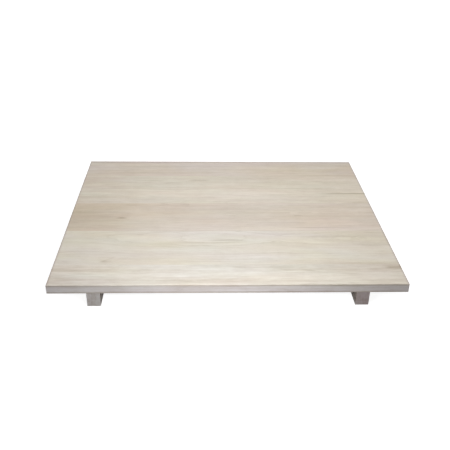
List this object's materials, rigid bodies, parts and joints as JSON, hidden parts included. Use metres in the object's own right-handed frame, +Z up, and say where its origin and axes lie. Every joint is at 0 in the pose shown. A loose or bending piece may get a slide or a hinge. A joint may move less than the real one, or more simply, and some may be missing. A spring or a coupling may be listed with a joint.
{
  "type": "footed noodle board",
  "caption": "Wide, low wooden board of edge-joined planks raised on full-depth batten feet, for rolling and cutting noodle dough.",
  "frame": {"origin": "on the table, under the middle of the board", "axes": "+X along the planks' grain to the right, -Y towards the front edge, +Z up out of the work surface"},
  "size_m": [0.9, 0.75, 0.0642],
  "materials": {
    "pale_plank_wood": "planed and sanded, unsealed",
    "tan_plank_wood": "planed and sanded, unsealed",
    "foot_wood": "planed",
    "dowel_wood": "fluted beech",
    "screw_steel": "bright zinc"
  },
  "bodies": {
    "root": {"plank_front": "pale_plank_wood", "plank_second": "pale_plank_wood", "plank_middle": "tan_plank_wood", "plank_fourth": "pale_plank_wood", "plank_rear": "tan_plank_wood", "left_foot": "foot_wood", "right_foot": "foot_wood", "seam_1_dowel_1": "dowel_wood", "seam_1_dowel_2": "dowel_wood", "seam_1_dowel_3": "dowel_wood", "seam_2_dowel_1": "dowel_wood", "seam_2_dowel_2": "dowel_wood", "seam_2_dowel_3": "dowel_wood", "seam_3_dowel_1": "dowel_wood", "seam_3_dowel_2": "dowel_wood", "seam_3_dowel_3": "dowel_wood", "seam_4_dowel_1": "dowel_wood", "seam_4_dowel_2": "dowel_wood", "seam_4_dowel_3": "dowel_wood", "left_foot_screw_1": "screw_steel", "left_foot_screw_2": "screw_steel", "left_foot_screw_3": "screw_steel", "left_foot_screw_4": "screw_steel", "left_foot_screw_5": "screw_steel", "right_foot_screw_1": "screw_steel", "right_foot_screw_2": "screw_steel", "right_foot_screw_3": "screw_steel", "right_foot_screw_4": "screw_steel", "right_foot_screw_5": "screw_steel"}
  },
  "joints": []
}
